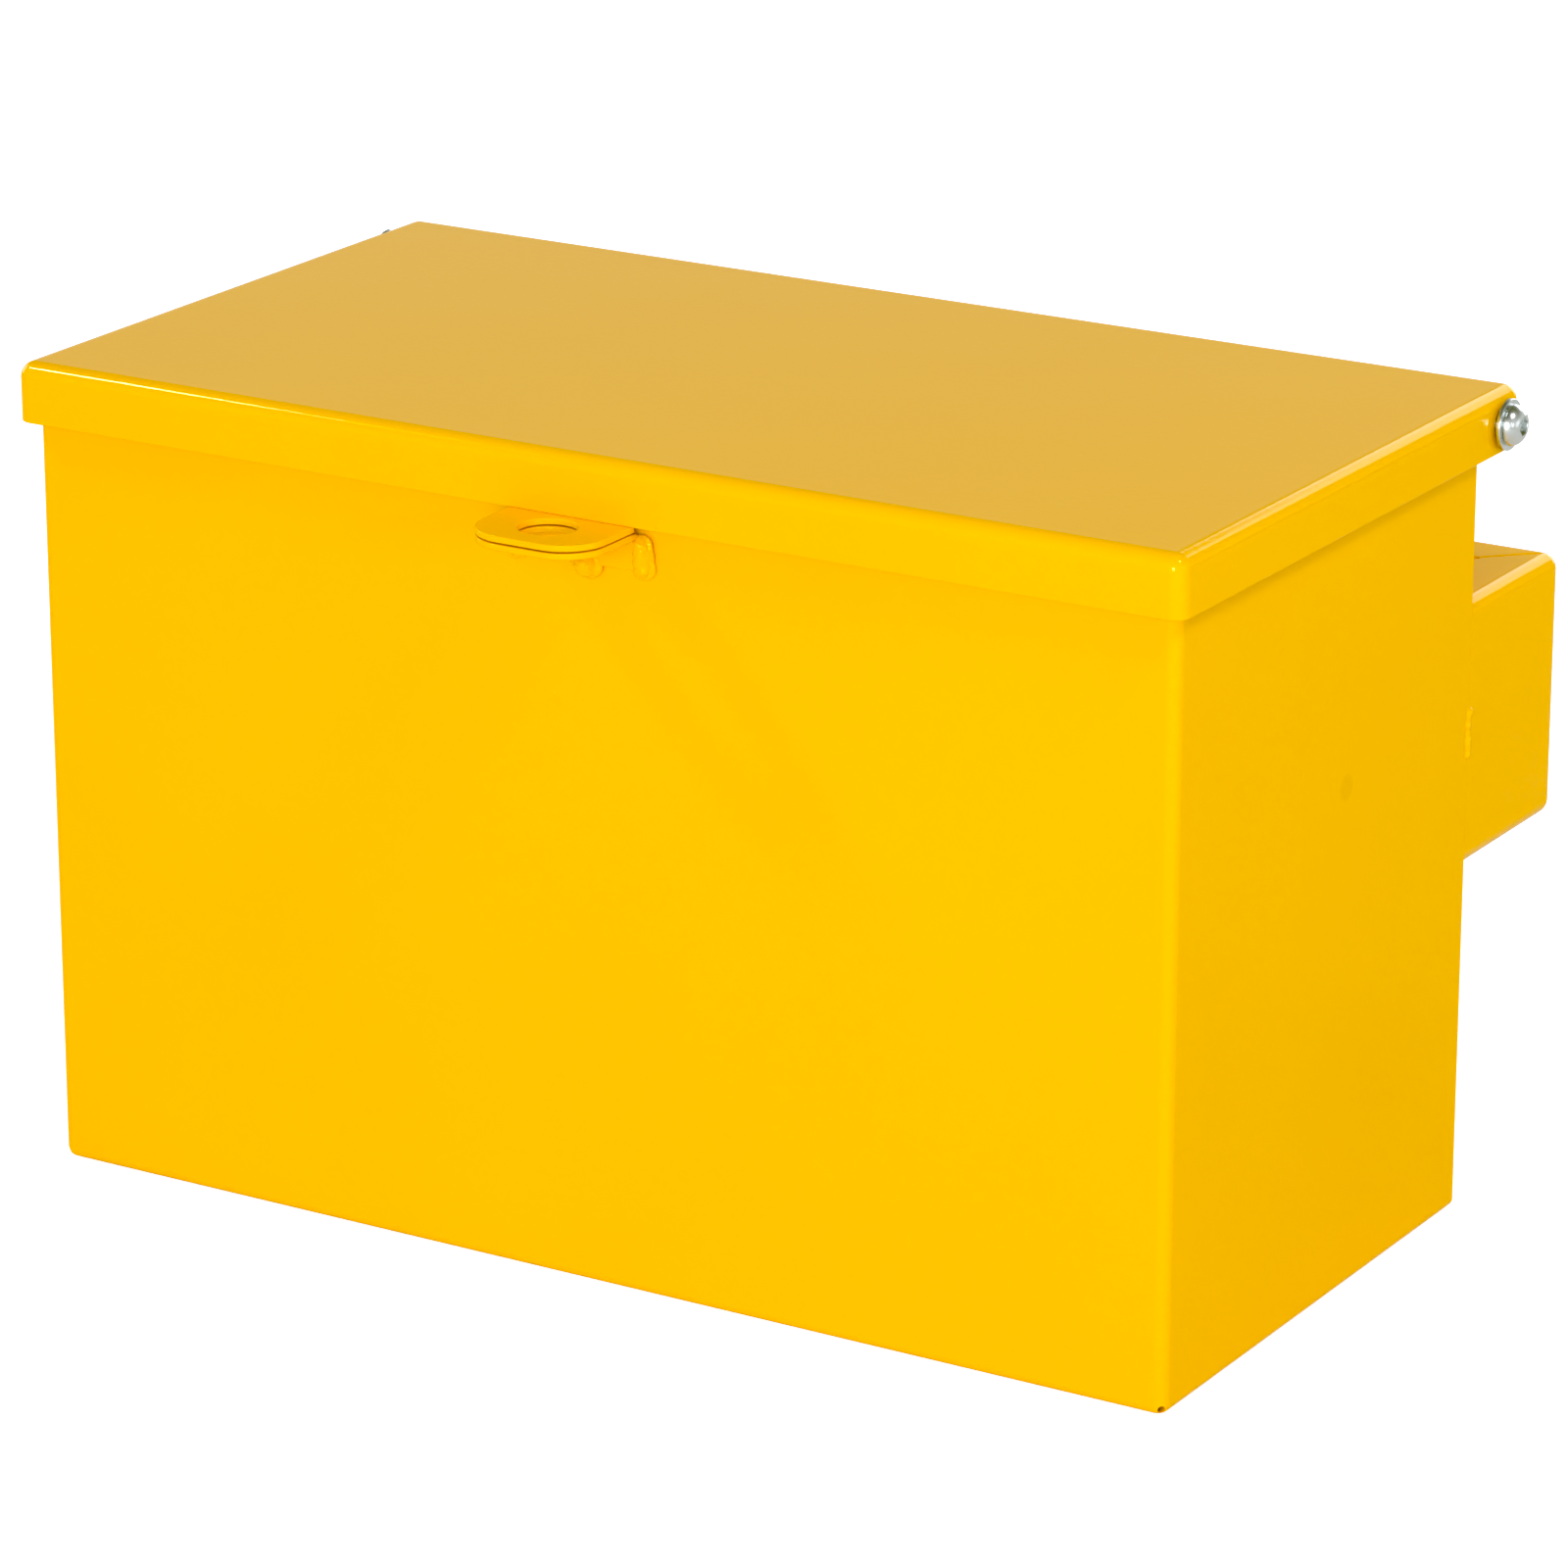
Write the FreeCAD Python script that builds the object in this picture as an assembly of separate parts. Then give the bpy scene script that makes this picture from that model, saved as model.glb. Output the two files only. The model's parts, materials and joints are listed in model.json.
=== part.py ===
import FreeCAD, Part
import math
import os

from FreeCAD import Vector

# A lockable sheet-steel box with an overhanging lid, a padlock hasp and a stand-off bracket behind.
# Millimetres, +Z up, +Y to the rear, origin at the middle of the floor's underside.

# Overall sizes
WIDTH = 400.0           # body, outside
DEPTH = 192.0           # body, front face to rear face
HEIGHT = 264.0          # floor's underside to the lid's top
SHEET = 2.0             # every folded sheet
FINE = 0.15             # fit between welded sheets

# Body
BODY_BEND = 4.0         # outside radius of the front vertical bends
FOOT_BEND = 3.0         # outside radius of the bends along the floor
RIM_BEND = 3.0          # outside radius of the bends along the rim
RIM_FLANGE = 12.0       # inward return around the mouth
RELIEF_R = 1.1          # relief holes at the bottom front corners
MITRE_SLIT = 0.8        # slit between two return flanges
REAR_BEND = 3.0         # outside radius of the rear panel's bends

# Lid
LID_REST_GAP = 0.5      # rim to the lid's underside
SIDE_GAP = 2.0          # body side to the lid's side flange
FRONT_GAP = 3.6         # body front to the lid's front flange
LID_BEND = 5.0          # outside radius of all the lid's bends and ground corners
LID_FLANGE = 19.0       # height of the front and side flanges
REAR_FLANGE = 14.0      # height of the rear flange, shorter so that the lid swings past upright
LID_BEHIND_PIVOT = 13.0  # lid's rear face behind the pivot's axis

# Pivot
PIVOT_BACK = 9.0        # axis behind the rear panel
EAR_WALL = 2.8          # around the pivot hole, at the ear's end
EAR_HEADROOM = 1.0      # ear's end to the lid's underside
SCREW_D = 8.0
SCREW_CLEARANCE = 0.2   # radial, in washers, bush and ear
THREAD_GAP = 0.05       # radial, screw to nut
SCREW_PROTRUSION = 1.8
HEAD_OVERHANG = 2.5     # head past the shank, radial
HEAD_H = 4.4
HEAD_RIM = 0.6          # height of the edge under the dome
HEAD_UNDERCUT = 0.5     # the head's seat inside that edge, radial
HEAD_FLAT_R = 3.3       # flat around the socket
SOCKET_AF = 5.0
SOCKET_DEPTH = 2.6
WASHER_T = 1.3
WASHER_OVERLAP = 2.5    # outer washer past the bush, radial
EAR_WASHER_WIDTH = 3.5  # past the screw, radial
BUSH_WALL = 1.3
BUSH_SHOULDER = 1.0     # radial
BUSH_SHOULDER_GAP = 0.6  # shoulder to the lid's side flange
BUSH_CHAMFER = 0.6      # clears the inside of the lid's bend
BUSH_PROUD = 1.3        # barrel past the lid's outer face
RUN_CLEARANCE = 0.075   # radial, lid hole on bush
NUT_WALL = 2.5          # screw to the hexagon's flats
NUT_H = 8.0
NUT_COLLAR_WALL = 1.9
NUT_COLLAR_H = 1.7
INSERT_WALL = 1.3
INSERT_H = 2.2

# Hasp
HASP_WIDTH = 43.0
HASP_REACH = 27.8       # eye plates in front of the lid's front flange
HASP_CORNER = 14.0
HASP_T = 2.0
HASP_GAP = 0.5          # between the two eye plates
EYE_D = 18.0
EYE_REACH = 11.6        # eye's centre in front of the lid's front flange
LEG_HEIGHT = 12.0       # leg of the body's bracket, outside
LEG_BEND = 3.5          # outside radius of its bend

# Stand-off bracket
BRACKET_DROP = 65.0     # its top below the lid's top
BRACKET_HEIGHT = 86.0
BRACKET_DEPTH = 64.0
BRACKET_FLANGE = 20.0
BRACKET_BEND = 5.0
GROOVE_WIDTH = 0.8      # painted-over mitre joint
GROOVE_DEPTH = 0.3
BOLT_D = 9.0
BOLT_SPAN_X = 300.0
BOLT_SPAN_Z = 40.0

# Welds
BEAD_R = 3.0            # beads at the hasp
SEAM_BEAD_R = 2.2       # beads at the bracket
STITCH_R = 1.6          # rear panel and lid hasp
END_BEAD_LENGTH = 13.0
MIDDLE_BEAD_LENGTH = 8.0
SEAM_BEAD_LENGTH = 15.0
STITCH_LENGTH = 24.0

# Places that follow from the sizes above
HALF_W = WIDTH / 2
HALF_D = DEPTH / 2
BODY_TOP = HEIGHT - SHEET - LID_REST_GAP
LID_X = HALF_W + SIDE_GAP + SHEET
LID_FRONT = -HALF_D - FRONT_GAP - SHEET
LID_EDGE = HEIGHT - LID_FLANGE
EAR_R = SCREW_D / 2 + SCREW_CLEARANCE + EAR_WALL
PIVOT_Y = HALF_D + PIVOT_BACK
PIVOT_Z = HEIGHT - SHEET - EAR_HEADROOM - EAR_R
LID_REAR = PIVOT_Y + LID_BEHIND_PIVOT
HASP_FRONT = LID_FRONT - HASP_REACH
EYE_Y = LID_FRONT - EYE_REACH
LOWER_PLATE_TOP = LID_EDGE - HASP_T - HASP_GAP
BRACKET_TOP = HEIGHT - BRACKET_DROP
BRACKET_FOOT = BRACKET_TOP - BRACKET_HEIGHT
BRACKET_REAR = HALF_D + BRACKET_DEPTH
FAR = 2 * WIDTH         # well past the object, for cutting tools

# Diameters that go with the pivot screw
HEAD_D = SCREW_D + 2 * HEAD_OVERHANG
BUSH_D = SCREW_D + 2 * (SCREW_CLEARANCE + BUSH_WALL)
BUSH_SHOULDER_D = BUSH_D + 2 * BUSH_SHOULDER
WASHER_D = BUSH_D + 2 * WASHER_OVERLAP
EAR_WASHER_D = SCREW_D + 2 * EAR_WASHER_WIDTH
NUT_AF = SCREW_D + 2 * NUT_WALL
NUT_COLLAR_D = SCREW_D + 2 * NUT_COLLAR_WALL

# Pivot stack along X, from the ear outwards and inwards
BUSH_END = LID_X + BUSH_PROUD
HEAD_SEAT = BUSH_END + WASHER_T
EAR_INNER = HALF_W - SHEET
NUT_SEAT = EAR_INNER - WASHER_T
NUT_END = NUT_SEAT - NUT_H
SCREW_END = NUT_END - SCREW_PROTRUSION


def block(x0, x1, y0, y1, z0, z1):
    return Part.makeBox(x1 - x0, y1 - y0, z1 - z0, Vector(x0, y0, z0))


def edges_in(shape, test):
    """Edges whose middle point passes the test."""
    found = []
    for edge in shape.Edges:
        middle = edge.valueAt((edge.FirstParameter + edge.LastParameter) / 2)
        if test(middle):
            found.append(edge)
    return found


def on(value, target, reach=1e-3):
    return abs(value - target) < reach


def rod(x0, x1, radius, y=PIVOT_Y, z=PIVOT_Z):
    """A cylinder along X on the pivot's axis."""
    return Part.makeCylinder(radius, x1 - x0, Vector(x0, y, z), Vector(1, 0, 0))


def mirrored(shape):
    """The same piece for the other side of the box."""
    return shape.mirror(Vector(0, 0, 0), Vector(1, 0, 0))


def weld(bead, neighbours, zone=None):
    """A bead cut back to the faces that it joins; what would lie outside its zone is left out."""
    if zone:
        bead = bead.common(zone)
    for other in neighbours:
        bead = bead.cut(other)
    return max(bead.Solids, key=lambda solid: solid.Volume)


def capsule(start, end, radius):
    """A rod with round ends, the shape of a short weld bead."""
    start = Vector(*start)
    end = Vector(*end)
    along = end - start
    bead = Part.makeCylinder(radius, along.Length, start, along)
    for point in (start, end):
        bead = bead.fuse(Part.makeSphere(radius, point))
    return bead.removeSplitter()


def cut_all(shape, others):
    for other in others:
        shape = shape.cut(other)
    return shape


def sheet_edges_rounded(shape, x_half, y_far, z_values, vertical_r, level_r):
    """Rounds the upright edges at y_far, then the level edges at each z, leaving the open side sharp."""
    upright = edges_in(shape, lambda p: on(abs(p.x), x_half) and on(p.y, y_far))
    shape = shape.makeFillet(vertical_r, upright)
    for z in z_values:
        open_y = max((v.Y for v in shape.Vertexes), key=lambda y: abs(y - y_far))
        level = edges_in(shape, lambda p: on(p.z, z) and not on(p.y, open_y))
        shape = shape.makeFillet(level_r, level)
    return shape


def ear(side):
    """A side panel's tongue behind the rear panel, with the pivot hole."""
    x0, x1 = sorted((side * EAR_INNER, side * HALF_W))
    neck = block(x0, x1, HALF_D, PIVOT_Y, PIVOT_Z - EAR_R, BODY_TOP - RIM_BEND)
    return neck.fuse(rod(x0, x1, EAR_R))


def mitre_slits(x_half, y_corner, toward, z0, z1, width, length):
    """Thin diagonal blocks over the two corners where return flanges meet."""
    slits = []
    for side in (-1, 1):
        slit = block(-width / 2, width / 2, -width, length, z0, z1)
        angle = math.degrees(math.atan2(-side, toward))
        slit.rotate(Vector(0, 0, 0), Vector(0, 0, 1), angle)
        slit.translate(Vector(side * x_half, y_corner, 0))
        slits.append(slit)
    return slits


def body_shell():
    """Floor, front and sides folded from one sheet, with a return rim and the hinge ears."""
    outer = block(-HALF_W, HALF_W, -HALF_D, HALF_D, 0, BODY_TOP)
    outer = sheet_edges_rounded(outer, HALF_W, -HALF_D, (0,), BODY_BEND, FOOT_BEND)
    top = edges_in(outer, lambda p: on(p.z, BODY_TOP) and not on(p.y, HALF_D))
    outer = outer.makeFillet(RIM_BEND, top)
    inside_x = HALF_W - SHEET
    inside_y = -HALF_D + SHEET
    past = HALF_D + SHEET
    inner = block(-inside_x, inside_x, inside_y, past, SHEET, BODY_TOP - SHEET)
    inner = sheet_edges_rounded(inner, inside_x, inside_y, (SHEET,), BODY_BEND - SHEET, FOOT_BEND - SHEET)
    ceiling = edges_in(inner, lambda p: on(p.z, BODY_TOP - SHEET) and not on(p.y, past))
    inner = inner.makeFillet(RIM_BEND - SHEET, ceiling)
    mouth_x = HALF_W - RIM_FLANGE
    mouth_y = -HALF_D + RIM_FLANGE
    mouth = block(-mouth_x, mouth_x, mouth_y, past, BODY_TOP - 2 * SHEET, BODY_TOP + SHEET)
    shell = outer.cut(inner).cut(mouth)
    reach = (RIM_FLANGE - BODY_BEND) * math.sqrt(2)
    slits = mitre_slits(mouth_x, mouth_y, -1, BODY_TOP - SHEET - FINE, BODY_TOP + SHEET, MITRE_SLIT, reach)
    shell = cut_all(shell, slits)
    for side in (-1, 1):
        corner = Vector(side * (HALF_W + SHEET), -HALF_D - SHEET, SHEET)
        inward = Vector(-side, 1, 0)
        shell = shell.cut(Part.makeCylinder(RELIEF_R, 4 * BODY_BEND, corner, inward))
        shell = shell.fuse(ear(side))
    shell = shell.cut(rod(-FAR, FAR, SCREW_D / 2 + SCREW_CLEARANCE))
    return shell.removeSplitter()


def rear_panel():
    """The back of the box: a flanged sheet between the sides, on the floor, completing the rim."""
    half = HALF_W - SHEET - FINE
    front = HALF_D - RIM_FLANGE
    outer = block(-half, half, front, HALF_D, SHEET, BODY_TOP)
    outer = sheet_edges_rounded(outer, half, HALF_D, (SHEET, BODY_TOP), REAR_BEND, REAR_BEND)
    thin = half - SHEET
    inner_top = BODY_TOP - SHEET
    inner = block(-thin, thin, front - SHEET, HALF_D - SHEET, 2 * SHEET, inner_top)
    radius = REAR_BEND - SHEET
    inner = sheet_edges_rounded(inner, thin, HALF_D - SHEET, (2 * SHEET, inner_top), radius, radius)
    panel = outer.cut(inner)
    under_rim = BODY_TOP - SHEET - FINE
    bend = RIM_BEND - SHEET
    for side in (-1, 1):
        for x, z in ((HALF_W - RIM_FLANGE - FINE, under_rim), (half - bend, under_rim - bend)):
            x0, x1 = sorted((side * x, side * FAR))
            panel = panel.cut(block(x0, x1, -FAR, FAR, z, FAR))
    return panel.removeSplitter()


def rear_panel_welds(neighbours):
    """Stitches in the grooves between the rear panel's bends, the sides and the floor."""
    beads = []
    inset = STITCH_R / 2
    for side in (-1, 1):
        x = side * (HALF_W - SHEET - inset)
        for z in (BRACKET_FOOT / 2, (BRACKET_TOP + PIVOT_Z - EAR_R) / 2):
            y = HALF_D - inset
            ends = ((x, y, z - STITCH_LENGTH / 2), (x, y, z + STITCH_LENGTH / 2))
            beads.append(capsule(*ends, STITCH_R))
    for x in (-WIDTH / 3, 0, WIDTH / 3):
        y = HALF_D - inset
        z = SHEET + inset
        beads.append(capsule((x - STITCH_LENGTH / 2, y, z), (x + STITCH_LENGTH / 2, y, z), STITCH_R))
    return Part.makeCompound([weld(bead, neighbours) for bead in beads])


def lid_block(inset, radius, foot):
    """The lid's outside, or with an inset of one sheet, its inside."""
    x = LID_X - inset
    y0 = LID_FRONT + inset
    y1 = LID_REAR - inset
    top = HEIGHT - inset
    shape = block(-x, x, y0, y1, foot, top)
    return shape.makeFillet(radius, edges_in(shape, lambda p: p.z > foot + 1e-3))


def lid_shell():
    """A pan with ground round corners; its side flanges carry the pivot holes."""
    shell = lid_block(0, LID_BEND, LID_EDGE)
    shell = shell.cut(lid_block(SHEET, LID_BEND - SHEET, LID_EDGE - SHEET))
    clear = HALF_W + SIDE_GAP / 2
    low = block(-clear, clear, LID_REAR - LID_BEND, FAR, LID_EDGE - SHEET, HEIGHT - REAR_FLANGE)
    shell = shell.cut(low)
    return shell.cut(rod(-FAR, FAR, BUSH_D / 2 + RUN_CLEARANCE)).removeSplitter()


def hasp_outline(rear, z0, z1):
    """An eye plate seen from above: square at the rear, big rounded corners in front."""
    half = HASP_WIDTH / 2
    plate = block(-half, half, HASP_FRONT, rear, z0, z1)
    front = edges_in(plate, lambda p: on(abs(p.x), half) and on(p.y, HASP_FRONT))
    return plate.makeFillet(HASP_CORNER, front)


def eye(z0, z1):
    return Part.makeCylinder(EYE_D / 2, z1 - z0, Vector(0, EYE_Y, z0))


def lid_hasp_plate():
    """The lid's eye plate, welded under the edge of the front flange."""
    rear = LID_FRONT + SHEET
    return hasp_outline(rear, LID_EDGE - HASP_T, LID_EDGE).cut(eye(0, FAR))


def body_hasp_bracket():
    """The body's eye plate, with a leg bent down against the front."""
    half = HASP_WIDTH / 2
    foot = LOWER_PLATE_TOP - LEG_HEIGHT
    outer = block(-half, half, HASP_FRONT, -HALF_D, foot, LOWER_PLATE_TOP)
    heel = edges_in(outer, lambda p: on(p.y, -HALF_D) and on(p.z, LOWER_PLATE_TOP))
    outer = outer.makeFillet(LEG_BEND, heel)
    hollow = block(-FAR, FAR, -FAR, -HALF_D - HASP_T, -FAR, LOWER_PLATE_TOP - HASP_T)
    inside = edges_in(hollow, lambda p: on(p.y, -HALF_D - HASP_T) and on(p.z, LOWER_PLATE_TOP - HASP_T))
    hollow = hollow.makeFillet(LEG_BEND - HASP_T, inside)
    bracket = outer.cut(hollow).common(hasp_outline(-HALF_D, foot, LOWER_PLATE_TOP))
    return bracket.cut(eye(0, FAR)).removeSplitter()


def body_hasp_welds(neighbours):
    """One bead under the leg's middle and one up each end of it."""
    foot = LOWER_PLATE_TOP - LEG_HEIGHT
    y = -HALF_D - HASP_T / 2
    middle = MIDDLE_BEAD_LENGTH / 2
    beads = [capsule((-middle, y, foot), (middle, y, foot), BEAD_R)]
    for side in (-1, 1):
        x = side * HASP_WIDTH / 2
        beads.append(capsule((x, y, foot), (x, y, foot + END_BEAD_LENGTH - BEAD_R), BEAD_R))
    return Part.makeCompound([weld(bead, neighbours) for bead in beads])


def lid_hasp_welds(neighbours):
    """Stitches behind the lid's front flange, along the eye plate's rear edge."""
    y = LID_FRONT + SHEET
    beads = []
    for side in (-1, 1):
        x = side * HASP_WIDTH / 4
        half = HASP_WIDTH / 8
        beads.append(capsule((x - half, y, LID_EDGE), (x + half, y, LID_EDGE), STITCH_R))
    return Part.makeCompound([weld(bead, neighbours) for bead in beads])


def mounting_bracket():
    """The stand-off frame: sides and back folded from one strip, flanged inwards above and below."""
    z0 = BRACKET_FOOT
    z1 = BRACKET_TOP
    outer = block(-HALF_W, HALF_W, HALF_D, BRACKET_REAR, z0, z1)
    outer = outer.makeFillet(BRACKET_BEND, edges_in(outer, lambda p: p.y > HALF_D + 1e-3))
    x = HALF_W - SHEET
    rear = BRACKET_REAR - SHEET
    inner = block(-x, x, HALF_D - BRACKET_BEND, rear, z0 + SHEET, z1 - SHEET)
    open_side = HALF_D - BRACKET_BEND + 1e-3
    inner = inner.makeFillet(BRACKET_BEND - SHEET, edges_in(inner, lambda p: p.y > open_side))
    way_x = HALF_W - BRACKET_FLANGE
    way_y = BRACKET_REAR - BRACKET_FLANGE
    frame = outer.cut(inner).cut(block(-way_x, way_x, -FAR, way_y, -FAR, FAR))
    joint = (BRACKET_FLANGE - BRACKET_BEND) * math.sqrt(2)
    for level, past in ((z1 - GROOVE_DEPTH, z1 + SHEET), (z0 - SHEET, z0 + GROOVE_DEPTH)):
        frame = cut_all(frame, mitre_slits(way_x, way_y, 1, level, past, GROOVE_WIDTH, joint))
    for side in (-1, 1):
        relief = Part.makeCylinder(RELIEF_R, BRACKET_HEIGHT + SHEET, Vector(side * way_x, way_y, z0 - 1))
        frame = frame.cut(relief)
    middle = (z0 + z1) / 2
    for x in (-BOLT_SPAN_X / 2, BOLT_SPAN_X / 2):
        for z in (middle - BOLT_SPAN_Z / 2, middle + BOLT_SPAN_Z / 2):
            hole = Part.makeCylinder(BOLT_D / 2, 4 * SHEET, Vector(x, rear - SHEET, z), Vector(0, 1, 0))
            frame = frame.cut(hole)
    return frame.removeSplitter()


def mounting_bracket_welds(neighbours):
    """Beads outside the joint with the box, and a fillet under each end of the bracket."""
    half = SEAM_BEAD_LENGTH / 2
    middle = (BRACKET_FOOT + BRACKET_TOP) / 2
    x = HALF_W - SEAM_BEAD_R / 2
    tack = BRACKET_TOP - BRACKET_BEND
    outside = block(HALF_W - SHEET, FAR, -FAR, FAR, -FAR, FAR)
    below = block(-FAR, FAR, -FAR, FAR, -FAR, BRACKET_FOOT + SHEET)
    right = [
        (capsule((x, HALF_D, middle - half), (x, HALF_D, middle + half), SEAM_BEAD_R), outside),
        (capsule((x, HALF_D, tack), (x, HALF_D, tack + SEAM_BEAD_R), SEAM_BEAD_R), outside),
    ]
    start = (HALF_W - BRACKET_BEND, HALF_D, BRACKET_FOOT)
    end = (HALF_W - BRACKET_FLANGE + SEAM_BEAD_R, HALF_D, BRACKET_FOOT)
    right.append((capsule(start, end, SEAM_BEAD_R), below))
    beads = []
    for bead, zone in right:
        shape = weld(bead, neighbours, zone)
        beads += [shape, mirrored(shape)]
    return Part.makeCompound(beads)


def hexagon_prism(x0, x1, across_flats, turn=0.0):
    """A hexagonal prism along X on the pivot's axis, with its flats to the front and rear."""
    radius = across_flats / math.sqrt(3)
    points = []
    for corner in range(7):
        angle = math.radians(60 * corner + turn)
        points.append(Vector(x0, PIVOT_Y + radius * math.sin(angle), PIVOT_Z + radius * math.cos(angle)))
    face = Part.Face(Part.makePolygon(points))
    return face.extrude(Vector(x1 - x0, 0, 0))


def pivot_screw():
    """A button-head screw with a hexagon socket."""
    r = HEAD_D / 2
    top = HEAD_SEAT + HEAD_H
    rim = Vector(HEAD_SEAT + HEAD_RIM, r, 0)
    crown = Vector(top, HEAD_FLAT_R, 0)
    lean = math.radians(52)
    bulge = (rim + crown) / 2 + Vector(math.cos(lean), math.sin(lean), 0) * HEAD_H * 0.16
    seat = Vector(HEAD_SEAT, r - HEAD_UNDERCUT, 0)
    profile = Part.Wire([
        Part.makeLine(Vector(HEAD_SEAT, 0, 0), seat),
        Part.makeLine(seat, rim),
        Part.Arc(rim, bulge, crown).toShape(),
        Part.makeLine(crown, Vector(top, 0, 0)),
        Part.makeLine(Vector(top, 0, 0), Vector(HEAD_SEAT, 0, 0)),
    ])
    head = Part.Face(profile).revolve(Vector(0, 0, 0), Vector(1, 0, 0), 360)
    head.translate(Vector(0, PIVOT_Y, PIVOT_Z))
    shank = rod(SCREW_END, HEAD_SEAT, SCREW_D / 2)
    tip = edges_in(shank, lambda p: on(p.x, SCREW_END))
    shank = shank.makeChamfer(SCREW_D / 10, tip)
    socket = hexagon_prism(top - SOCKET_DEPTH, top + 1, SOCKET_AF, 15.0)
    return head.fuse(shank).cut(socket).removeSplitter()


def ring(x0, x1, outside_d, hole_r):
    return rod(x0, x1, outside_d / 2).cut(rod(x0 - 1, x1 + 1, hole_r))


def rims(shape, diameter):
    """The circular edges of one diameter."""
    return [edge for edge in shape.Edges if on(edge.Length, math.pi * diameter)]


def washer(x0, outside_d):
    """A plain washer with a broken outer edge."""
    shape = ring(x0, x0 + WASHER_T, outside_d, SCREW_D / 2 + SCREW_CLEARANCE)
    return shape.makeChamfer(WASHER_T / 10, rims(shape, outside_d))


def pivot_bush():
    """A shouldered bush: the shoulder keeps the lid off the ear and the lid turns on the barrel."""
    hole = SCREW_D / 2 + SCREW_CLEARANCE
    barrel = ring(HALF_W, BUSH_END, BUSH_D, hole)
    shoulder_end = HALF_W + SIDE_GAP - BUSH_SHOULDER_GAP
    shoulder = ring(HALF_W, shoulder_end, BUSH_SHOULDER_D, hole)
    outer = [edge for edge in rims(shoulder, BUSH_SHOULDER_D) if on(edge.CenterOfMass.x, shoulder_end)]
    shoulder = shoulder.makeChamfer(BUSH_CHAMFER, outer)
    return barrel.fuse(shoulder).removeSplitter()


def lock_nut():
    """A hexagon nut with a thin collar around its nylon ring."""
    shoulder = NUT_END + NUT_COLLAR_H
    hexagon = hexagon_prism(shoulder, NUT_SEAT, NUT_AF)
    tip = Vector(shoulder, PIVOT_Y, PIVOT_Z)
    cone = Part.makeCone(NUT_AF / 2, NUT_AF / 2 + NUT_H, NUT_H, tip, Vector(1, 0, 0))
    collar = rod(NUT_END, shoulder + 1, NUT_COLLAR_D / 2)
    nut = hexagon.common(cone).fuse(collar)
    bore = rod(NUT_END - 1, NUT_SEAT + 1, SCREW_D / 2 + THREAD_GAP)
    seat = rod(NUT_END - 1, NUT_END + INSERT_H, SCREW_D / 2 + INSERT_WALL)
    return nut.cut(bore).cut(seat).removeSplitter()


def lock_nut_insert():
    return ring(NUT_END, NUT_END + INSERT_H, SCREW_D + 2 * INSERT_WALL, SCREW_D / 2 + THREAD_GAP)


def pivot_pieces():
    """The right-hand pivot's pieces, from the screw inwards."""
    return {
        "pivot_screw": pivot_screw(),
        "pivot_washer": washer(BUSH_END, WASHER_D),
        "pivot_bush": pivot_bush(),
        "ear_washer": washer(NUT_SEAT, EAR_WASHER_D),
        "lock_nut": lock_nut(),
        "lock_nut_insert": lock_nut_insert(),
    }


def all_nodes():
    body = body_shell()
    rear = rear_panel()
    lid = lid_shell()
    eye_plate = lid_hasp_plate()
    hasp = body_hasp_bracket()
    frame = mounting_bracket()
    nodes = {
        "body_shell": body,
        "rear_panel": rear,
        "rear_panel_welds": rear_panel_welds([body, rear]),
        "lid_shell": lid,
        "lid_hasp_plate": eye_plate,
        "lid_hasp_welds": lid_hasp_welds([lid, eye_plate]),
        "body_hasp_bracket": hasp,
        "body_hasp_welds": body_hasp_welds([body, hasp]),
        "mounting_bracket": frame,
        "mounting_bracket_welds": mounting_bracket_welds([body, rear, frame]),
    }
    for name, shape in pivot_pieces().items():
        nodes[name + "_right"] = shape
        nodes[name + "_left"] = mirrored(shape)
    return nodes


os.makedirs("parts", exist_ok=True)
for name, shape in all_nodes().items():
    shape.exportStep(os.path.join("parts", name + ".step"))
    print(name, "solids", len(shape.Solids), "valid", shape.isValid(), "volume", round(shape.Volume, 1))
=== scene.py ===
import json
import math
import random

import bpy
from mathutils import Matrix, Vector

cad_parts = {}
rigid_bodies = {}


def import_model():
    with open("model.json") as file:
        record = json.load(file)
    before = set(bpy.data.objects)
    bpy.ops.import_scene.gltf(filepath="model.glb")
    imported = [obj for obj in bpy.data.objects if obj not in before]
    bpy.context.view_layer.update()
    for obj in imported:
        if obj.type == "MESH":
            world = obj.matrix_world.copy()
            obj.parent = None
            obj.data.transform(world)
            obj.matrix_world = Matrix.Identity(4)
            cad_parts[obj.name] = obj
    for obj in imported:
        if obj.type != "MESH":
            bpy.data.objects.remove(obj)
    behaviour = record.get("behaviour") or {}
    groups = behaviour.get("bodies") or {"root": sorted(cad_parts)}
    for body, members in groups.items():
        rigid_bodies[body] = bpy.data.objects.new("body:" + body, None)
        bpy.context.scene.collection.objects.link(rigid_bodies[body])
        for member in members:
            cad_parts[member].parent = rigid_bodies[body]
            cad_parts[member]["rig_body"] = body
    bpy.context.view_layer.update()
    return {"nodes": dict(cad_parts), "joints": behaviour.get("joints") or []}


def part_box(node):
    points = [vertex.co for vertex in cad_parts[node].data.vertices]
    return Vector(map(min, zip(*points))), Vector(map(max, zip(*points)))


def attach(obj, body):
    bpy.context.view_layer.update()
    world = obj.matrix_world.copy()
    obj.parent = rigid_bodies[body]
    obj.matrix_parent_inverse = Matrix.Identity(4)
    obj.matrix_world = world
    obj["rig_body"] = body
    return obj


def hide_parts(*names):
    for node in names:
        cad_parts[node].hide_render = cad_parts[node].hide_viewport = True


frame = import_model()


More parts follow.
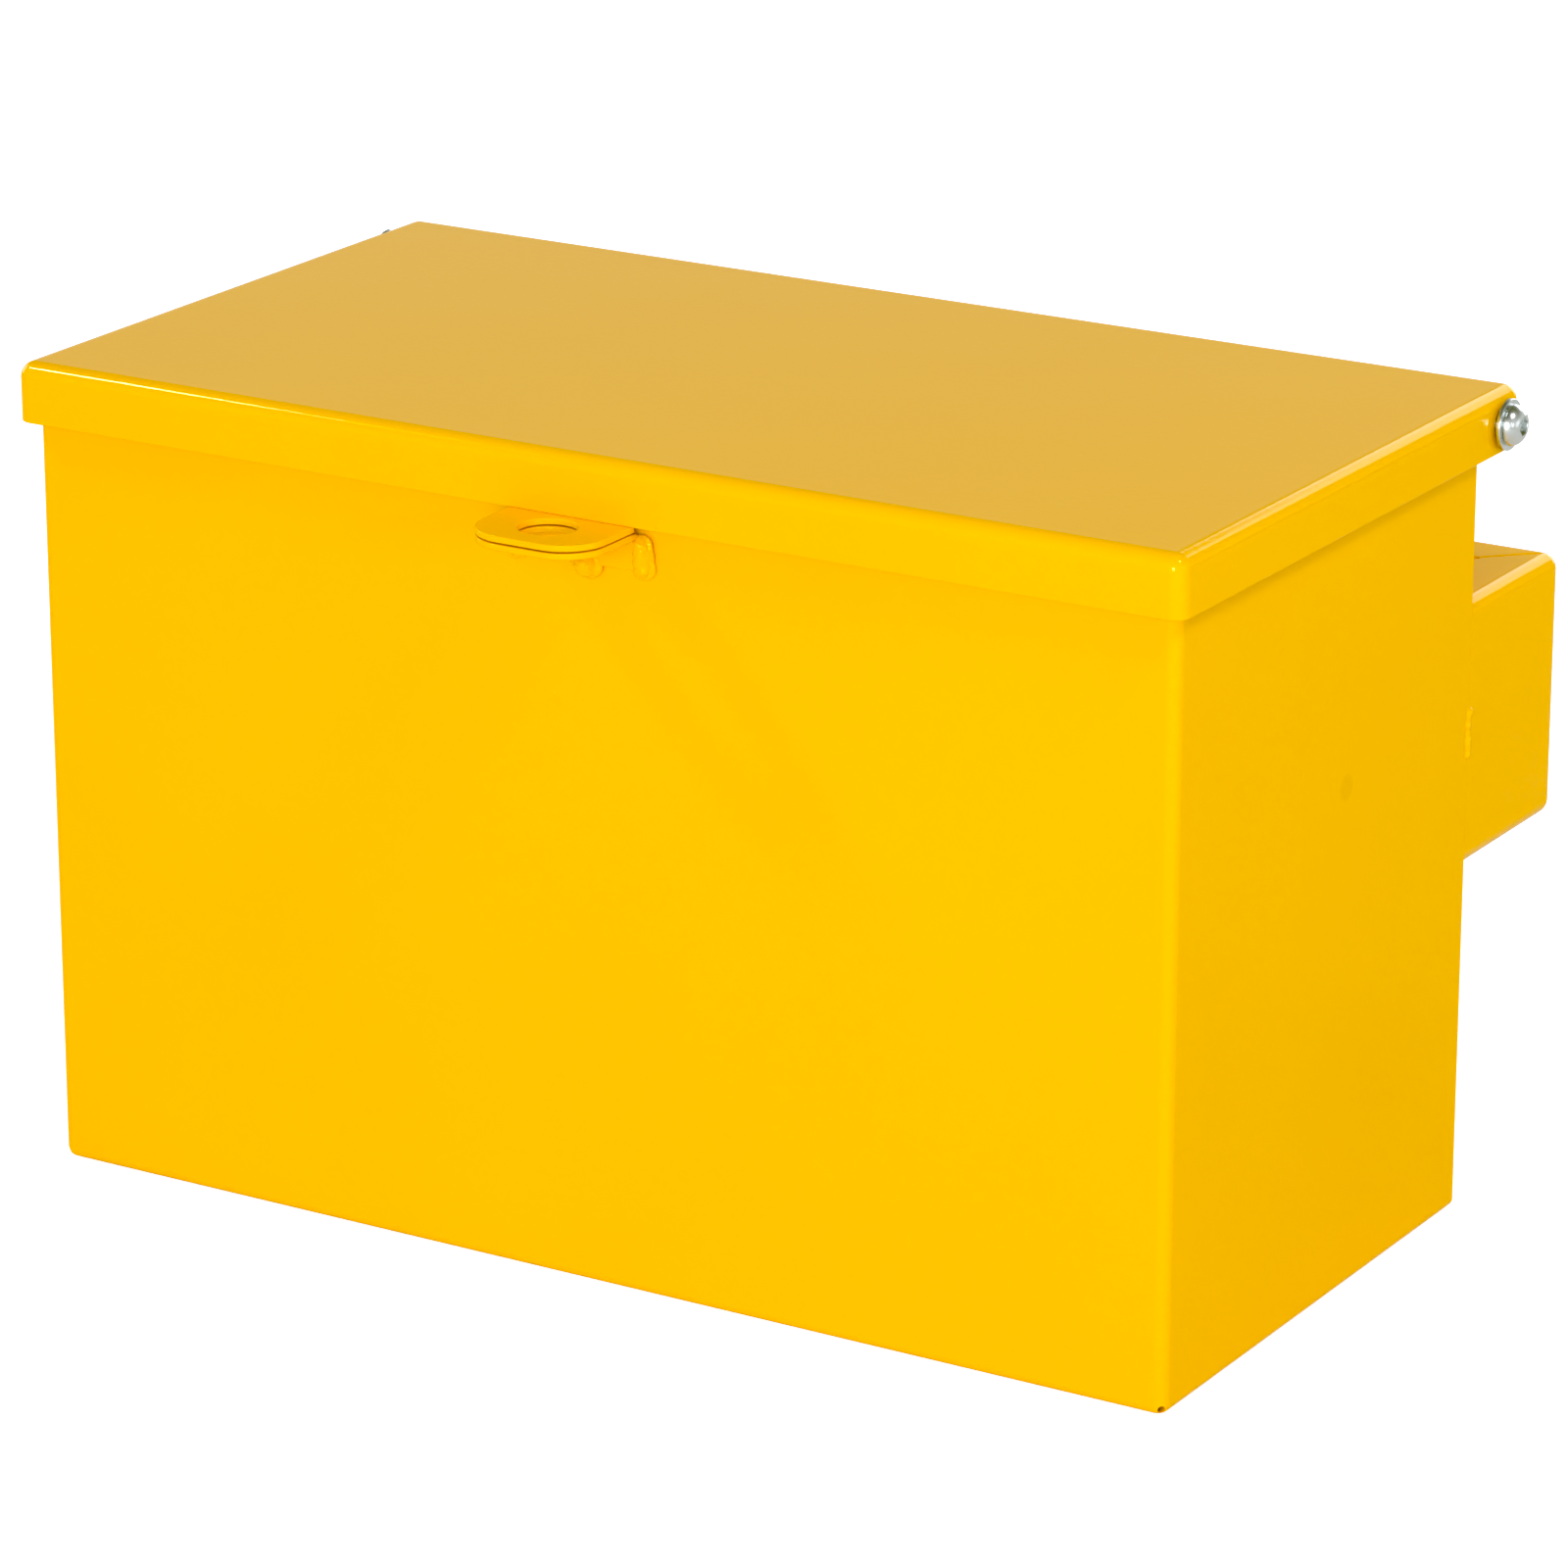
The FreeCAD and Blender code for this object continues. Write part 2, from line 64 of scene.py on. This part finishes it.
# Body shell. One sheet of 2 mm steel folded into the floor, the front and both sides, with a return
# rim round the mouth and an ear behind each side for the lid's pivot. After welding, everything that
# is folded gets one glossy coat of yellow powder, which melts to a film that rounds the cut edges.

def effect(name, inputs, outputs):
    """An empty shader group with its sockets, and its input and output nodes."""
    group = bpy.data.node_groups.new(name, "ShaderNodeTree")
    for socket_name, kind, value in inputs:
        socket = group.interface.new_socket(socket_name, in_out="INPUT", socket_type=kind)
        socket.default_value = value
    for socket_name, kind in outputs:
        group.interface.new_socket(socket_name, in_out="OUTPUT", socket_type=kind)
    return group, group.nodes.new("NodeGroupInput"), group.nodes.new("NodeGroupOutput")


def noise(nodes, links, place, scale_from, detail):
    """A noise texture on a place vector, with its scale taken from a socket."""
    texture = nodes.new("ShaderNodeTexNoise")
    texture.inputs["Detail"].default_value = detail
    links.new(place, texture.inputs["Vector"])
    links.new(scale_from, texture.inputs["Scale"])
    return texture.outputs["Fac"]


def orange_peel():
    """Fine peel from the melted powder, over slow waves in the sheet under it."""
    group, given, made = effect(
        "orange_peel",
        [("Peel Scale", "NodeSocketFloat", 450.0),
         ("Peel Depth", "NodeSocketFloat", 0.00002),
         ("Wave Scale", "NodeSocketFloat", 22.0),
         ("Wave Depth", "NodeSocketFloat", 0.0001)],
        [("Normal", "NodeSocketVector")])
    nodes, links = group.nodes, group.links
    place = nodes.new("ShaderNodeTexCoord").outputs["Object"]
    waves = nodes.new("ShaderNodeBump")
    links.new(given.outputs["Wave Depth"], waves.inputs["Distance"])
    links.new(noise(nodes, links, place, given.outputs["Wave Scale"], 1.0), waves.inputs["Height"])
    peel = nodes.new("ShaderNodeBump")
    links.new(given.outputs["Peel Depth"], peel.inputs["Distance"])
    links.new(noise(nodes, links, place, given.outputs["Peel Scale"], 2.0), peel.inputs["Height"])
    links.new(waves.outputs["Normal"], peel.inputs["Normal"])
    links.new(peel.outputs["Normal"], made.inputs["Normal"])
    return group


def uneven_tone():
    """A colour and a roughness that drift a little from place to place."""
    group, given, made = effect(
        "uneven_tone",
        [("Light Color", "NodeSocketColor", (1, 1, 1, 1)),
         ("Deep Color", "NodeSocketColor", (0.8, 0.8, 0.8, 1)),
         ("Scale", "NodeSocketFloat", 12.0),
         ("Low Roughness", "NodeSocketFloat", 0.2),
         ("High Roughness", "NodeSocketFloat", 0.3)],
        [("Color", "NodeSocketColor"), ("Roughness", "NodeSocketFloat")])
    nodes, links = group.nodes, group.links
    place = nodes.new("ShaderNodeTexCoord").outputs["Object"]
    drift = noise(nodes, links, place, given.outputs["Scale"], 4.0)
    tone = nodes.new("ShaderNodeMix")
    tone.data_type = "RGBA"
    links.new(drift, tone.inputs["Factor"])
    links.new(given.outputs["Light Color"], tone.inputs["A"])
    links.new(given.outputs["Deep Color"], tone.inputs["B"])
    links.new(tone.outputs["Result"], made.inputs["Color"])
    roughness = nodes.new("ShaderNodeMapRange")
    links.new(drift, roughness.inputs["Value"])
    links.new(given.outputs["Low Roughness"], roughness.inputs["To Min"])
    links.new(given.outputs["High Roughness"], roughness.inputs["To Max"])
    links.new(roughness.outputs["Result"], made.inputs["Roughness"])
    return group


def round_spot():
    """A soft round mask at one place on the piece."""
    group, given, made = effect(
        "round_spot",
        [("Centre", "NodeSocketVector", (0, 0, 0)),
         ("Inside", "NodeSocketFloat", 0.003),
         ("Outside", "NodeSocketFloat", 0.005),
         ("Strength", "NodeSocketFloat", 1.0)],
        [("Mask", "NodeSocketFloat")])
    nodes, links = group.nodes, group.links
    reach = nodes.new("ShaderNodeVectorMath")
    reach.operation = "DISTANCE"
    links.new(nodes.new("ShaderNodeTexCoord").outputs["Object"], reach.inputs[0])
    links.new(given.outputs["Centre"], reach.inputs[1])
    fall = nodes.new("ShaderNodeMapRange")
    fall.interpolation_type = "SMOOTHSTEP"
    links.new(reach.outputs["Value"], fall.inputs["Value"])
    links.new(given.outputs["Inside"], fall.inputs["From Min"])
    links.new(given.outputs["Outside"], fall.inputs["From Max"])
    links.new(given.outputs["Strength"], fall.inputs["To Min"])
    fall.inputs["To Max"].default_value = 0.0
    links.new(fall.outputs["Result"], made.inputs["Mask"])
    return group


peel_group = orange_peel()
tone_group = uneven_tone()
spot_group = round_spot()


def placed(material, group, values):
    """The group as a node in a material, with the material's own values."""
    node = material.node_tree.nodes.new("ShaderNodeGroup")
    node.node_tree = group
    for name, value in values.items():
        node.inputs[name].default_value = value
    return node


def powder_coat():
    """The yellow coat, with one darker round spot on the right side."""
    material = bpy.data.materials.new("yellow_powder_coat_finish")
    material.use_nodes = True
    links = material.node_tree.links
    shader = material.node_tree.nodes["Principled BSDF"]
    shader.inputs["IOR"].default_value = 1.5
    shader.inputs["Specular IOR Level"].default_value = 0.42
    shader.inputs["Specular Tint"].default_value = (1.0, 0.86, 0.45, 1.0)
    tone = placed(material, tone_group, {
        "Light Color": (0.955, 0.485, 0.0, 1.0),
        "Deep Color": (0.925, 0.455, 0.0, 1.0),
        "Scale": 9.0,
        "Low Roughness": 0.10,
        "High Roughness": 0.17,
    })
    # One darker round spot on the right side, mixed into the base colour of the coat.
    right_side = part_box("body_shell")[1].x
    spot_y = 0.013
    spot_z = 0.163
    darker_round_spot = placed(material, spot_group, {
        "Centre": (right_side, spot_y, spot_z),
        "Inside": 0.0032,
        "Outside": 0.0050,
        "Strength": 0.5,
    })
    shaded = material.node_tree.nodes.new("ShaderNodeMix")
    shaded.data_type = "RGBA"
    shaded.inputs["B"].default_value = (0.84, 0.40, 0.0, 1.0)
    links.new(darker_round_spot.outputs["Mask"], shaded.inputs["Factor"])
    links.new(tone.outputs["Color"], shaded.inputs["A"])
    links.new(shaded.outputs["Result"], shader.inputs["Base Color"])
    links.new(tone.outputs["Roughness"], shader.inputs["Roughness"])
    peel = placed(material, peel_group, {
        "Peel Scale": 420.0,
        "Peel Depth": 0.00003,
        "Wave Scale": 14.0,
        "Wave Depth": 0.00012,
    })
    links.new(peel.outputs["Normal"], shader.inputs["Normal"])
    return material


coat = powder_coat()


def alone(piece):
    """Selects one object and makes it active."""
    bpy.ops.object.select_all(action="DESELECT")
    piece.select_set(True)
    bpy.context.view_layer.objects.active = piece


def rounded_copy(node, edge, segments, finish):
    """A CAD piece's own shape with its sharp edges rounded, in its finish, standing for the piece."""
    same_point = 2e-6
    flat_within = math.radians(0.5)
    sharp_over = math.radians(40)
    smooth_under = math.radians(35)
    mesh = frame["nodes"][node].data.copy()
    piece = bpy.data.objects.new(node + "_finished", mesh)
    bpy.context.scene.collection.objects.link(piece)
    alone(piece)
    bpy.ops.mesh.customdata_custom_splitnormals_clear()
    bpy.ops.object.mode_set(mode="EDIT")
    bpy.ops.mesh.select_all(action="SELECT")
    bpy.ops.mesh.remove_doubles(threshold=same_point)
    bpy.ops.mesh.dissolve_limited(angle_limit=flat_within)
    bpy.ops.object.mode_set(mode="OBJECT")
    round_over = piece.modifiers.new("round_over", "BEVEL")
    round_over.width = edge
    round_over.segments = segments
    round_over.limit_method = "ANGLE"
    round_over.angle_limit = sharp_over
    round_over.use_clamp_overlap = False
    bpy.ops.object.modifier_apply(modifier="round_over")
    bpy.ops.object.shade_smooth_by_angle(angle=smooth_under)
    flats = piece.modifiers.new("flats", "WEIGHTED_NORMAL")
    flats.weight = 100
    flats.keep_sharp = True
    bpy.ops.object.modifier_apply(modifier="flats")
    piece.data.materials.clear()
    piece.data.materials.append(finish)
    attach(piece, frame["nodes"][node]["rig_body"])
    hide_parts(node)


def coated(node, film, segments=2):
    """A folded sheet whose cut edges are rounded by the film of the coat."""
    rounded_copy(node, film, segments, coat)


coated("body_shell", film=0.00015)


# Nibs in the body's coat. Specks of dust that the powder melted over, each a low round pimple. The
# front has two side by side, and the front and both sides have a few smaller ones.

def add_drop(place, radius, spread, subdivisions):
    """One drop, flattened by its spread along each axis, left unselected."""
    bpy.ops.mesh.primitive_ico_sphere_add(subdivisions=subdivisions, radius=radius, location=place,
                                          scale=spread)
    drop = bpy.context.object
    drop.select_set(False)
    return drop


def joined(drops, name):
    """All the drops as one named object, at the origin."""
    for drop in drops:
        drop.select_set(True)
    bpy.context.view_layer.objects.active = drops[0]
    bpy.ops.object.join()
    piece = bpy.context.object
    piece.name = name
    bpy.ops.object.transform_apply(location=True, rotation=True, scale=True)
    return piece


def coat_nibs():
    """Every nib as a flattened drop, half sunk in its face, joined into one piece."""
    low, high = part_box("body_shell")
    dusting = random.Random(11)
    scattered_pairs = 9
    lowest = 0.02
    highest = 0.22
    nibs = [(Vector((-0.0100, low.y, 0.1876)), 0.00042, (1.0, 0.35, 1.0)),
            (Vector((0.0006, low.y, 0.1872)), 0.00038, (1.0, 0.35, 1.0))]
    for _ in range(scattered_pairs):
        across = dusting.uniform(0.9 * low.x, 0.9 * high.x)
        along = dusting.uniform(0.7 * low.y, 0.7 * high.y)
        upward = dusting.uniform(lowest, highest)
        size = dusting.uniform(0.00016, 0.00030)
        nibs.append((Vector((across, low.y, upward)), size, (1.0, 0.3, 1.0)))
        side_x = math.copysign(high.x, across)
        nibs.append((Vector((side_x, along, upward)), size, (0.3, 1.0, 1.0)))
    bpy.ops.object.select_all(action="DESELECT")
    drops = [add_drop(place, size, spread, 3) for place, size, spread in nibs]
    piece = joined(drops, "coat_nibs")
    bpy.ops.object.shade_smooth()
    piece.data.materials.clear()
    piece.data.materials.append(coat)
    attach(piece, frame["nodes"]["body_shell"]["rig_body"])


coat_nibs()


# Rear panel. The same sheet, flanged forwards all round, set between the sides on the floor so that
# its top flange completes the rim. It is stitched in from behind.

coated("rear_panel", film=0.0001)


# Stitches of the rear panel. Short runs of MIG weld in the grooves that the bends leave at the sides
# and along the floor. A run is a row of overlapping drops that sank into each other while molten.

rippling = random.Random(5)
froth = bpy.data.textures.new("froth", "CLOUDS")
froth.noise_scale = 0.0026


def weld_bead(name, node, runs, voxel, foot=None):
    """One piece of welds. A run is its start, its end and its radius at each, in metres. The foot is
    the spread of the low rim where the metal wetted the sheet."""
    spacing = 0.5
    fewest = 3
    wander = 0.12
    drops = []
    bpy.ops.object.select_all(action="DESELECT")
    for start, end, first_radius, last_radius in runs:
        mean = (first_radius + last_radius) / 2
        count = max(fewest, round((end - start).length / (spacing * mean)) + 1)
        for index in range(count):
            share = index / (count - 1)
            size = first_radius + (last_radius - first_radius) * share
            size *= rippling.uniform(0.88, 1.05)
            off = Vector([rippling.uniform(-wander, wander) * size for _ in range(3)])
            drops.append(add_drop(start.lerp(end, share) + off, size, (1.0, 1.0, 1.0), 4))
            if foot:
                drops.append(add_drop(start.lerp(end, share), size, foot, 4))
    bead = joined(drops, name)
    melt = bead.modifiers.new("melt", "REMESH")
    melt.mode = "VOXEL"
    melt.voxel_size = voxel
    melt.use_smooth_shade = True
    bpy.ops.object.modifier_apply(modifier="melt")
    flow = bead.modifiers.new("flow", "SMOOTH")
    flow.factor = 0.5
    flow.iterations = 7
    bpy.ops.object.modifier_apply(modifier="flow")
    lumps = bead.modifiers.new("lumps", "DISPLACE")
    lumps.texture = froth
    lumps.strength = 0.0010
    bpy.ops.object.modifier_apply(modifier="lumps")
    bead.data.materials.clear()
    bead.data.materials.append(coat)
    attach(bead, frame["nodes"][node]["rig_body"])
    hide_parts(node)


stitch_radius = 0.0016
stitch_half = 0.012
ear_radius = 0.007
body_width = 0.4
panel_low, panel_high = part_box("rear_panel")
bracket_low, bracket_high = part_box("mounting_bracket")
pivot = Vector(frame["joints"][0]["pos_m"])
stitch_y = panel_high.y - stitch_radius / 2
stitches = []
for side in (-1, 1):
    stitch_x = side * (panel_high.x - stitch_radius / 2)
    for stitch_z in (bracket_low.z / 2, (bracket_high.z + pivot.z - ear_radius) / 2):
        stitches.append((Vector((stitch_x, stitch_y, stitch_z - stitch_half)),
                         Vector((stitch_x, stitch_y, stitch_z + stitch_half)),
                         stitch_radius, stitch_radius))
for stitch_x in (-body_width / 3, 0.0, body_width / 3):
    stitch_z = panel_low.z + stitch_radius / 2
    stitches.append((Vector((stitch_x - stitch_half, stitch_y, stitch_z)),
                     Vector((stitch_x + stitch_half, stitch_y, stitch_z)),
                     stitch_radius, stitch_radius))
weld_bead("rear_panel_weld_beads", "rear_panel_welds", stitches, voxel=0.0003)


# Lower eye plate. 2 mm sheet with a leg bent down against the front of the box, where it is welded.
# The padlock's shackle goes through this eye and the lid's.

coated("body_hasp_bracket", film=0.0005, segments=4)


# Welds of the lower eye plate. A drop under the middle of the leg, which grows as the torch stays on
# it, and a heavier run up each end. They stand on the body's front and lap over the leg's edges.

leg_low, leg_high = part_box("body_hasp_bracket")
body_front = leg_high.y
hasp_runs = [(Vector((-0.0030, body_front - 0.0002, leg_low.z + 0.0004)),
              Vector((0.0036, body_front - 0.0012, leg_low.z - 0.0004)),
              0.0012, 0.0038)]
for side in (-1, 1):
    end_x = side * (leg_high.x + 0.0010)
    hasp_runs.append((Vector((end_x, body_front - 0.0006, leg_low.z + 0.0012)),
                      Vector((end_x, body_front - 0.0012, leg_low.z + 0.0080)),
                      0.0037, 0.0029))
wetted_rim = (1.3, 0.42, 1.25)
weld_bead("body_hasp_weld_beads", "body_hasp_welds", hasp_runs, voxel=0.00022, foot=wetted_rim)


# Stand-off bracket. Sides and back folded from one strip of the same sheet and flanged inwards above
# and below. It holds the box off a wall, and its corners are mitred, filled and ground flush.

coated("mounting_bracket", film=0.0002)


# Welds of the bracket. A run and a tack outside each side, over the joint with the box, and a fillet
# under each end of the bracket.

seam_y = bracket_low.y
middle_z = (bracket_low.z + bracket_high.z) / 2
seam_runs = []
for side in (-1, 1):
    seam_x = side * (bracket_high.x - 0.0011)
    seam_runs.append((Vector((seam_x, seam_y, middle_z - 0.0055)),
                      Vector((seam_x, seam_y + 0.0003, middle_z + 0.0075)),
                      0.0019, 0.0022))
    seam_runs.append((Vector((seam_x, seam_y, bracket_high.z - 0.0045)),
                      Vector((seam_x, seam_y, bracket_high.z - 0.0030)),
                      0.0014, 0.0012))
    seam_runs.append((Vector((side * (bracket_high.x - 0.005), seam_y, bracket_low.z)),
                      Vector((side * (bracket_high.x - 0.017), seam_y, bracket_low.z)),
                      0.0020, 0.0018))
weld_bead("mounting_bracket_weld_beads", "mounting_bracket_welds", seam_runs, voxel=0.00025)


# Lid. A pan of the same sheet with its corners welded and ground round. Its side flanges carry the
# bushes that it turns on, and its rear flange is shorter so that it can swing past upright.

coated("lid_shell", film=0.0004, segments=3)


# Upper eye plate and its stitches. A flat eye of the same outline as the lower one, stitched under
# the edge of the lid's front flange.

coated("lid_hasp_plate", film=0.0004, segments=4)
plate_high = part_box("lid_hasp_plate")[1]
plate_weld_radius = 0.0015
plate_weld_half = 0.0054
lid_runs = []
for side in (-1, 1):
    weld_x = side * plate_high.x / 2
    lid_runs.append((Vector((weld_x - plate_weld_half, plate_high.y, plate_high.z)),
                     Vector((weld_x + plate_weld_half, plate_high.y, plate_high.z)),
                     plate_weld_radius, plate_weld_radius))
weld_bead("lid_hasp_weld_beads", "lid_hasp_welds", lid_runs, voxel=0.0003)


# Pivot screws, washers and lock nuts. Bright zinc-plated steel, headed or stamped, with small dulled
# patches in the plate. A screw clamps its washer and bush to the ear, with the nut on the ear's inner
# side.

def zinc_plate():
    """Bright plate whose tone and gloss change in small patches."""
    material = bpy.data.materials.new("zinc_plate_finish")
    material.use_nodes = True
    links = material.node_tree.links
    shader = material.node_tree.nodes["Principled BSDF"]
    shader.inputs["Metallic"].default_value = 1.0
    tone = placed(material, tone_group, {
        "Light Color": (0.80, 0.83, 0.84, 1.0),
        "Deep Color": (0.60, 0.65, 0.67, 1.0),
        "Scale": 260.0,
        "Low Roughness": 0.16,
        "High Roughness": 0.34,
    })
    links.new(tone.outputs["Color"], shader.inputs["Base Color"])
    links.new(tone.outputs["Roughness"], shader.inputs["Roughness"])
    peel = placed(material, peel_group, {
        "Peel Scale": 2500.0,
        "Peel Depth": 0.000008,
        "Wave Scale": 300.0,
        "Wave Depth": 0.00002,
    })
    links.new(peel.outputs["Normal"], shader.inputs["Normal"])
    return material


zinc = zinc_plate()
headed_edge = 0.00015
stamped_edge = 0.00022
for side_name in ("right", "left"):
    rounded_copy("pivot_screw_" + side_name, headed_edge, 2, zinc)
    rounded_copy("pivot_washer_" + side_name, stamped_edge, 3, zinc)
    rounded_copy("ear_washer_" + side_name, stamped_edge, 3, zinc)
    rounded_copy("lock_nut_" + side_name, headed_edge, 2, zinc)


# Pivot bushes. Turned from mild steel and left bare, with tool rings round the axis and a trace of
# oil that darkens them unevenly.

def turned_steel():
    """Bare steel with the lathe's rings round the pivot's axis."""
    material = bpy.data.materials.new("turned_steel_finish")
    material.use_nodes = True
    nodes, links = material.node_tree.nodes, material.node_tree.links
    shader = nodes["Principled BSDF"]
    shader.inputs["Metallic"].default_value = 1.0
    tone = placed(material, tone_group, {
        "Light Color": (0.62, 0.61, 0.59, 1.0),
        "Deep Color": (0.40, 0.38, 0.35, 1.0),
        "Scale": 180.0,
        "Low Roughness": 0.24,
        "High Roughness": 0.42,
    })
    links.new(tone.outputs["Color"], shader.inputs["Base Color"])
    links.new(tone.outputs["Roughness"], shader.inputs["Roughness"])
    centred = nodes.new("ShaderNodeMapping")
    centred.inputs["Location"].default_value = (0.0, -pivot.y, -pivot.z)
    links.new(nodes.new("ShaderNodeTexCoord").outputs["Object"], centred.inputs["Vector"])
    rings = nodes.new("ShaderNodeTexWave")
    rings.wave_type = "RINGS"
    rings.rings_direction = "X"
    rings.inputs["Scale"].default_value = 900.0
    links.new(centred.outputs["Vector"], rings.inputs["Vector"])
    cut = nodes.new("ShaderNodeBump")
    cut.inputs["Distance"].default_value = 0.00001
    links.new(rings.outputs["Fac"], cut.inputs["Height"])
    links.new(cut.outputs["Normal"], shader.inputs["Normal"])
    return material


turned = turned_steel()
for side_name in ("right", "left"):
    frame["nodes"]["pivot_bush_" + side_name].data.materials[0] = turned


# Locking rings of the nuts. Moulded blue nylon, matt, held in the nuts' collars, where they grip the
# screws so that a pivot that turns doesn't work its nut loose.

def nylon():
    """Matt blue plastic, a little uneven in tone."""
    material = bpy.data.materials.new("nylon_finish")
    material.use_nodes = True
    links = material.node_tree.links
    shader = material.node_tree.nodes["Principled BSDF"]
    tone = placed(material, tone_group, {
        "Light Color": (0.06, 0.16, 0.46, 1.0),
        "Deep Color": (0.04, 0.11, 0.36, 1.0),
        "Scale": 400.0,
        "Low Roughness": 0.42,
        "High Roughness": 0.55,
    })
    links.new(tone.outputs["Color"], shader.inputs["Base Color"])
    links.new(tone.outputs["Roughness"], shader.inputs["Roughness"])
    return material


blue_nylon = nylon()
for side_name in ("right", "left"):
    frame["nodes"]["lock_nut_insert_" + side_name].data.materials[0] = blue_nylon


# Floor. A plain pale surface under the box. It looks a little brighter to the eye than the light it
# gives back, so it stays white without tinting the box.

def pale_floor():
    """Pale and matt, with a glow that only the camera sees."""
    glow = 0.80
    material = bpy.data.materials.new("pale_floor")
    material.use_nodes = True
    nodes, links = material.node_tree.nodes, material.node_tree.links
    shader = nodes["Principled BSDF"]
    shader.inputs["Base Color"].default_value = (0.80, 0.80, 0.80, 1.0)
    shader.inputs["Roughness"].default_value = 0.9
    shader.inputs["Specular IOR Level"].default_value = 0.0
    shader.inputs["Emission Color"].default_value = (1.0, 1.0, 1.0, 1.0)
    seen = nodes.new("ShaderNodeMath")
    seen.operation = "MULTIPLY"
    seen.inputs[1].default_value = glow
    links.new(nodes.new("ShaderNodeLightPath").outputs["Is Camera Ray"], seen.inputs[0])
    links.new(seen.outputs["Value"], shader.inputs["Emission Strength"])
    return material


bpy.ops.object.select_all(action="DESELECT")
bpy.ops.mesh.primitive_plane_add(size=16.0, location=(0.0, 0.0, -0.0002))
floor = bpy.context.object
floor.name = "floor"
floor.data.materials.append(pale_floor())


# Light. Two small softboxes above to the left and right, four large low ones at the front, the rear
# and both ends, a spark for the glints on the welds, and a room that is pale near the horizon and
# darker overhead.

def softbox(name, direction, distance, size, power):
    """A square softbox that faces the middle of the box."""
    middle = Vector((0.0, 0.0, 0.15))
    toward = Vector(direction).normalized()
    bpy.ops.object.light_add(type="AREA", location=middle + toward * distance)
    lamp = bpy.context.object
    lamp.name = name
    lamp.rotation_euler = toward.to_track_quat("Z", "Y").to_euler()
    lamp.data.shape = "SQUARE"
    lamp.data.size = size
    lamp.data.energy = power


softbox("left_softbox", (-0.62, -0.29, 0.73), 2.45, 0.25, 10.0)
softbox("right_softbox", (0.60, -0.14, 0.79), 2.2, 0.40, 14.0)
softbox("front_softbox", (0.30, -0.93, 0.20), 2.6, 1.00, 35.0)
softbox("rear_softbox", (0.10, 0.95, 0.30), 2.6, 1.50, 18.0)
softbox("end_softbox", (-0.95, 0.10, 0.30), 2.6, 1.20, 13.0)
softbox("side_softbox", (0.95, 0.15, 0.05), 2.6, 1.20, 3.5)
softbox("spark", (0.86, -0.44, 0.25), 2.2, 0.09, 2.4)

room = bpy.data.worlds.new("room")
bpy.context.scene.world = room
room.use_nodes = True
room_nodes, room_links = room.node_tree.nodes, room.node_tree.links
height = room_nodes.new("ShaderNodeSeparateXYZ")
room_links.new(room_nodes.new("ShaderNodeTexCoord").outputs["Generated"], height.inputs["Vector"])
fade = room_nodes.new("ShaderNodeValToRGB")
fade.color_ramp.elements[0].position = 0.0
fade.color_ramp.elements[0].color = (0.90, 0.90, 0.90, 1.0)
fade.color_ramp.elements[1].position = 0.8
fade.color_ramp.elements[1].color = (0.12, 0.12, 0.12, 1.0)
room_links.new(height.outputs["Z"], fade.inputs["Fac"])
white = room_nodes.new("ShaderNodeMix")
white.data_type = "RGBA"
white.inputs["B"].default_value = (1.0, 1.0, 1.0, 1.0)
room_links.new(room_nodes.new("ShaderNodeLightPath").outputs["Is Camera Ray"], white.inputs["Factor"])
room_links.new(fade.outputs["Color"], white.inputs["A"])
room_links.new(white.outputs["Result"], room_nodes["Background"].inputs["Color"])


# Camera. A long lens from the front right, looking down on the lid, and aimed a little to the right
# of the box's middle. The view takes the last trace of blue out of the yellow.

azimuth = math.radians(31.29)
elevation = math.radians(18.52)
distance = 2.1103
right = Vector((math.cos(azimuth), math.sin(azimuth), 0.0))
forward = Vector((-math.sin(azimuth) * math.cos(elevation), math.cos(azimuth) * math.cos(elevation),
                  -math.sin(elevation)))
up = right.cross(forward)
aim_right = 0.01036
aim_up = 0.00106
lid_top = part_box("lid_shell")[1].z
aim = Vector((0.0, 0.0, lid_top / 2)) + right * aim_right + up * aim_up
bpy.ops.object.camera_add(location=aim - forward * distance,
                          rotation=(math.pi / 2 - elevation, 0.0, azimuth))
camera = bpy.context.object
camera.data.sensor_width = 36.0
camera.data.lens = 155.4
camera.data.clip_end = 50.0
bpy.context.scene.camera = camera
view = bpy.context.scene.view_settings
view.view_transform = "Standard"
view.use_curve_mapping = True
view.curve_mapping.black_level = (0.0, 0.0, 0.075)
view.curve_mapping.update()
